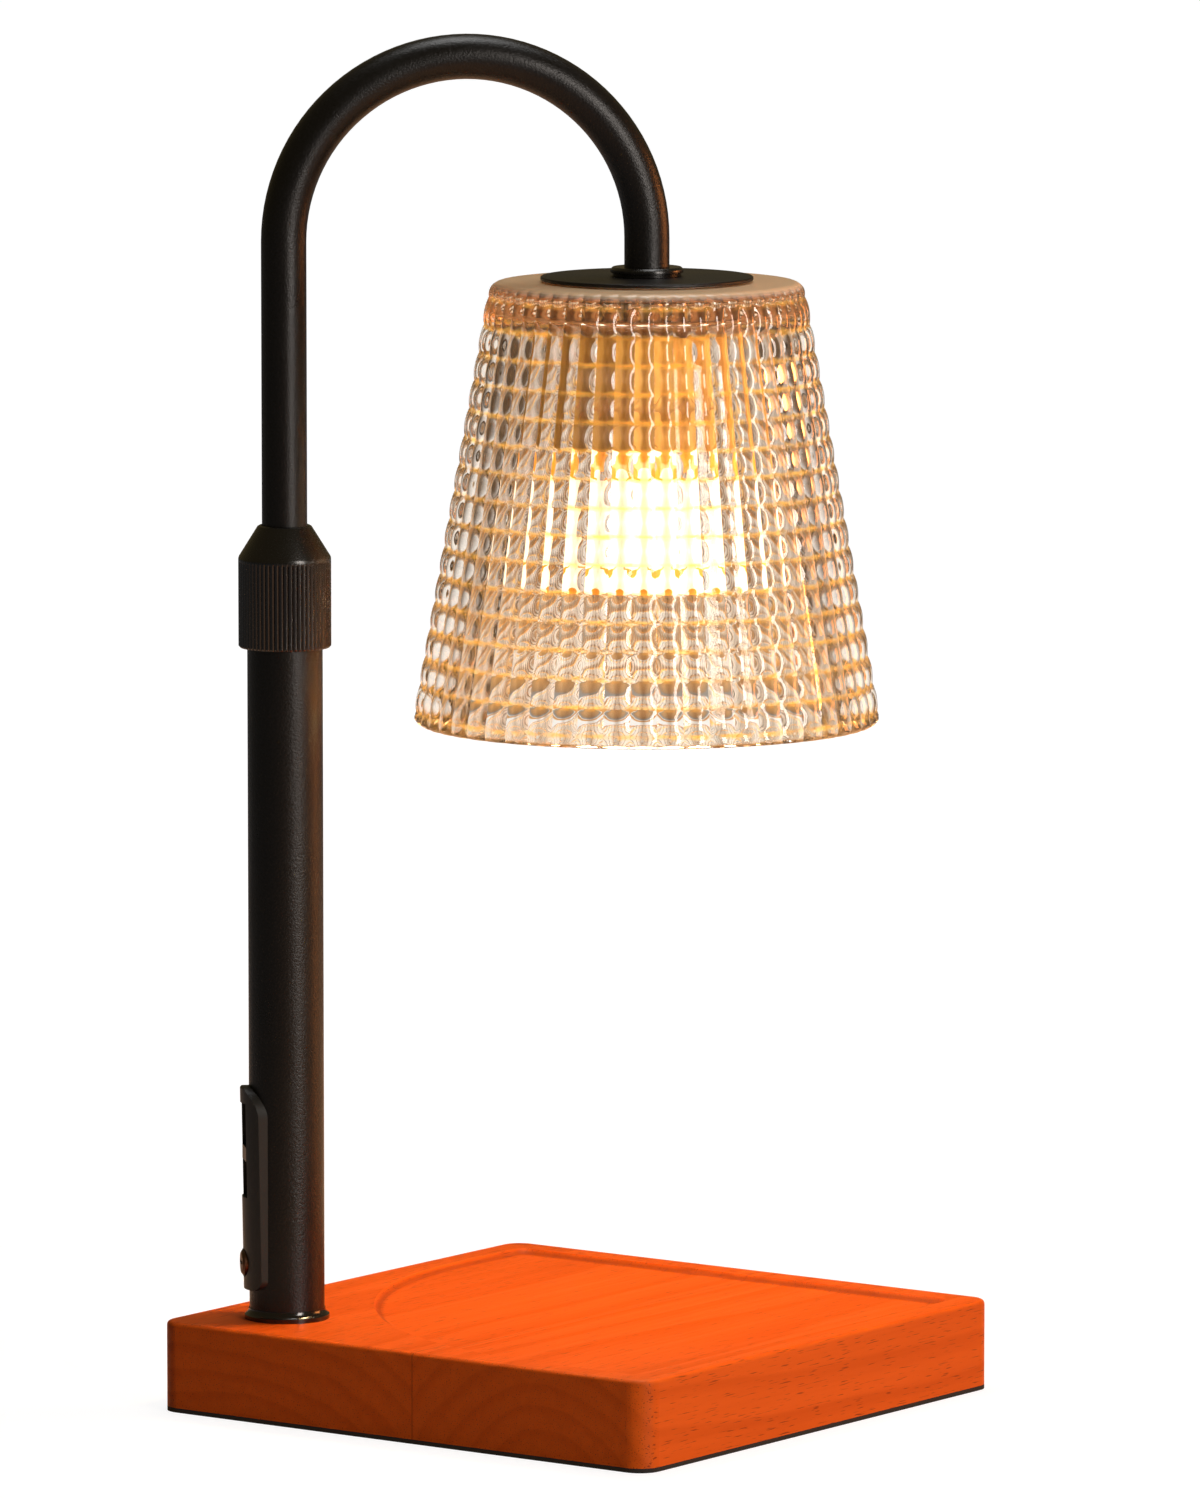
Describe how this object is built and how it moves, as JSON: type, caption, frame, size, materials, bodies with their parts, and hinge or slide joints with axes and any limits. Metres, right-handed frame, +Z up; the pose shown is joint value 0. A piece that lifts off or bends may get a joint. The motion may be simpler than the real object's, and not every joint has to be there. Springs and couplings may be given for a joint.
{
  "type": "candle warmer lamp",
  "caption": "Table lamp that melts a scented candle from above: wooden base with a tray, telescoping post with clamp nut, swan-neck arm and beaded glass shade.",
  "frame": {"origin": "middle of the underside of the foam pad, under the middle of the square board", "axes": "+Z up; the arm reaches from the post towards +X, along the board's diagonal; +Y across the arm"},
  "size_m": [0.2212, 0.2212, 0.3659],
  "materials": {
    "foam_pad": "matt closed-cell foam",
    "stained_board": "stained and satin lacquered",
    "zinc_hardware": "zinc plated",
    "turned_steel": "turned",
    "spring_steel": "oiled spring steel",
    "blackened_screw": "blackened",
    "black_tube": "fine satin powder coat",
    "foot_ring_black": "gloss black",
    "nut_black": "satin black",
    "black_disc": "satin black",
    "cover_plastic": "moulded satin",
    "collet_nylon": "natural nylon",
    "bush_nylon": "natural nylon",
    "silicone": "translucent silicone",
    "shade_glass": "clear pressed glass",
    "cup_brass": "spun, satin lacquered",
    "brass_parts": "bright",
    "holder_ceramic": "unglazed white steatite",
    "lead_sleeve": "silicone sleeve",
    "bulb_reflector_glass": "pressed glass with a mirror coat",
    "bulb_front_glass": "moulded front glass",
    "bulb_lamp_glass": "frosted inner lamp",
    "pin_metal": "nickel plated"
  },
  "bodies": {
    "stand": {"base_pad": "foam_pad", "base_board": "stained_board", "base_washer": "zinc_hardware", "base_bolt": "zinc_hardware", "post_plug": "turned_steel", "foot_ring": "foot_ring_black", "post_tube": "black_tube", "cord_cover": "cover_plastic", "cover_screw": "blackened_screw", "neck": "turned_steel"},
    "carriage": {"guide_bush": "bush_nylon"},
    "arm": {"arm_clip": "spring_steel", "arm_tube": "black_tube", "end_nipple": "zinc_hardware", "end_ring": "nut_black", "shade_disc": "black_disc", "disc_gasket": "silicone", "glass_shade": "shade_glass", "glass_gasket": "silicone", "clamp_washer": "zinc_hardware", "holder_cup": "cup_brass", "holder_bracket": "zinc_hardware", "hex_nut": "brass_parts", "holder_cap": "holder_ceramic", "holder_body": "holder_ceramic", "holder_screws": "zinc_hardware", "holder_contacts": "brass_parts", "holder_leads": "lead_sleeve"},
    "grip": {"collet": "collet_nylon"},
    "nut": {"clamp_nut": "nut_black"},
    "bulb": {"bulb_reflector": "bulb_reflector_glass", "bulb_lens": "bulb_front_glass", "bulb_capsule": "bulb_lamp_glass", "bulb_pins": "pin_metal"}
  },
  "joints": [
    {"name": "arm_slide", "type": "slide", "parent": "stand", "child": "carriage", "axis": [0, 0, 1], "range_m": [-0.07, 0.02]},
    {"name": "arm_swivel", "type": "hinge", "parent": "carriage", "child": "arm", "pos_m": [-0.07844, 0, 0.208], "axis": [0, 0, 1], "range_deg": [-180, 180]},
    {"name": "nut_travel", "type": "slide", "parent": "stand", "child": "grip", "axis": [0, 0, 1], "range_m": [0, 0.00075]},
    {"name": "nut_turn", "type": "hinge", "parent": "grip", "child": "nut", "pos_m": [-0.07844, 0, 0.208], "axis": [0, 0, 1], "range_deg": [0, 180]},
    {"name": "bulb_twist", "type": "hinge", "parent": "arm", "child": "bulb", "pos_m": [0.01856, 0, 0.2662], "axis": [0, 0, 1], "range_deg": [-25, 0]}
  ],
  "couplings": [
    {"joint": "nut_turn", "follows": "nut_travel", "rad_per_m": 4188.8}
  ]
}
